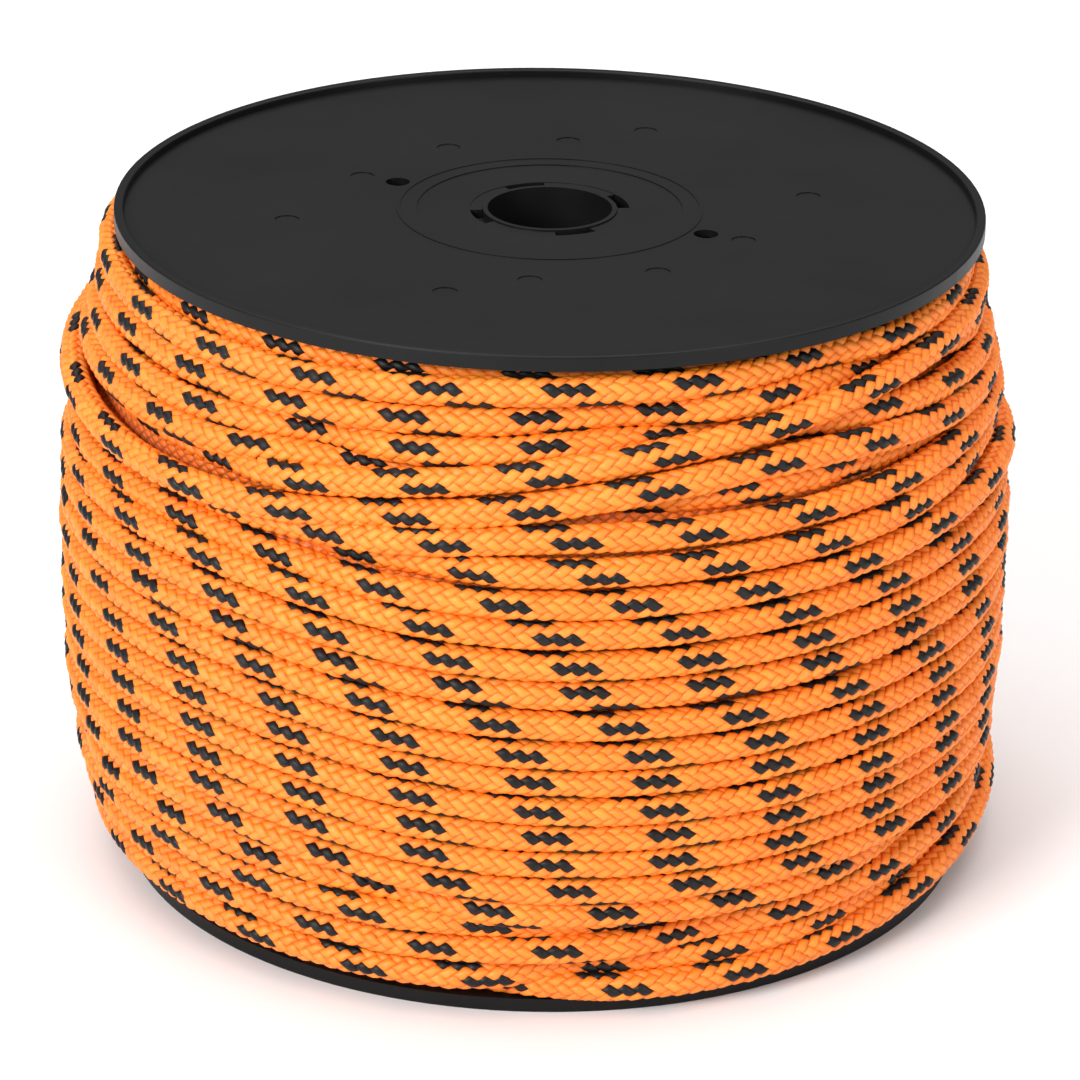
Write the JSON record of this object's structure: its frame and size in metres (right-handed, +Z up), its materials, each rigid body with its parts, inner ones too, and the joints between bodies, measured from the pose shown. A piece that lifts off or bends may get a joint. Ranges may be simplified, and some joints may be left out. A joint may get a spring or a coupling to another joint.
{
  "type": "spool of climbing rope",
  "caption": "Braided orange climbing rope with black tracer flecks, wound full on a flanged black plastic spool with a through bore and drive holes.",
  "frame": {"origin": "on the spool's axis, in the plane that its lower rim stands on", "axes": "+Z up along the spool's axis; +X towards the right of the front view, -Y towards the viewer"},
  "size_m": [0.3959, 0.396, 0.279],
  "materials": {
    "spool_plastic": "satin black moulded polypropylene",
    "rope_orange": "tightly braided polyamide sheath, slight sheen",
    "rope_core": "undyed twisted polyamide yarns",
    "tape": "clear packing tape"
  },
  "bodies": {
    "root": {"top_flange": "spool_plastic", "bottom_flange": "spool_plastic", "drum_barrel": "spool_plastic", "arbor_tube": "spool_plastic", "rope_winding": "rope_orange", "rope_tail_sheath": "rope_orange", "rope_tail_core": "rope_core", "end_tape": "tape"}
  },
  "joints": []
}
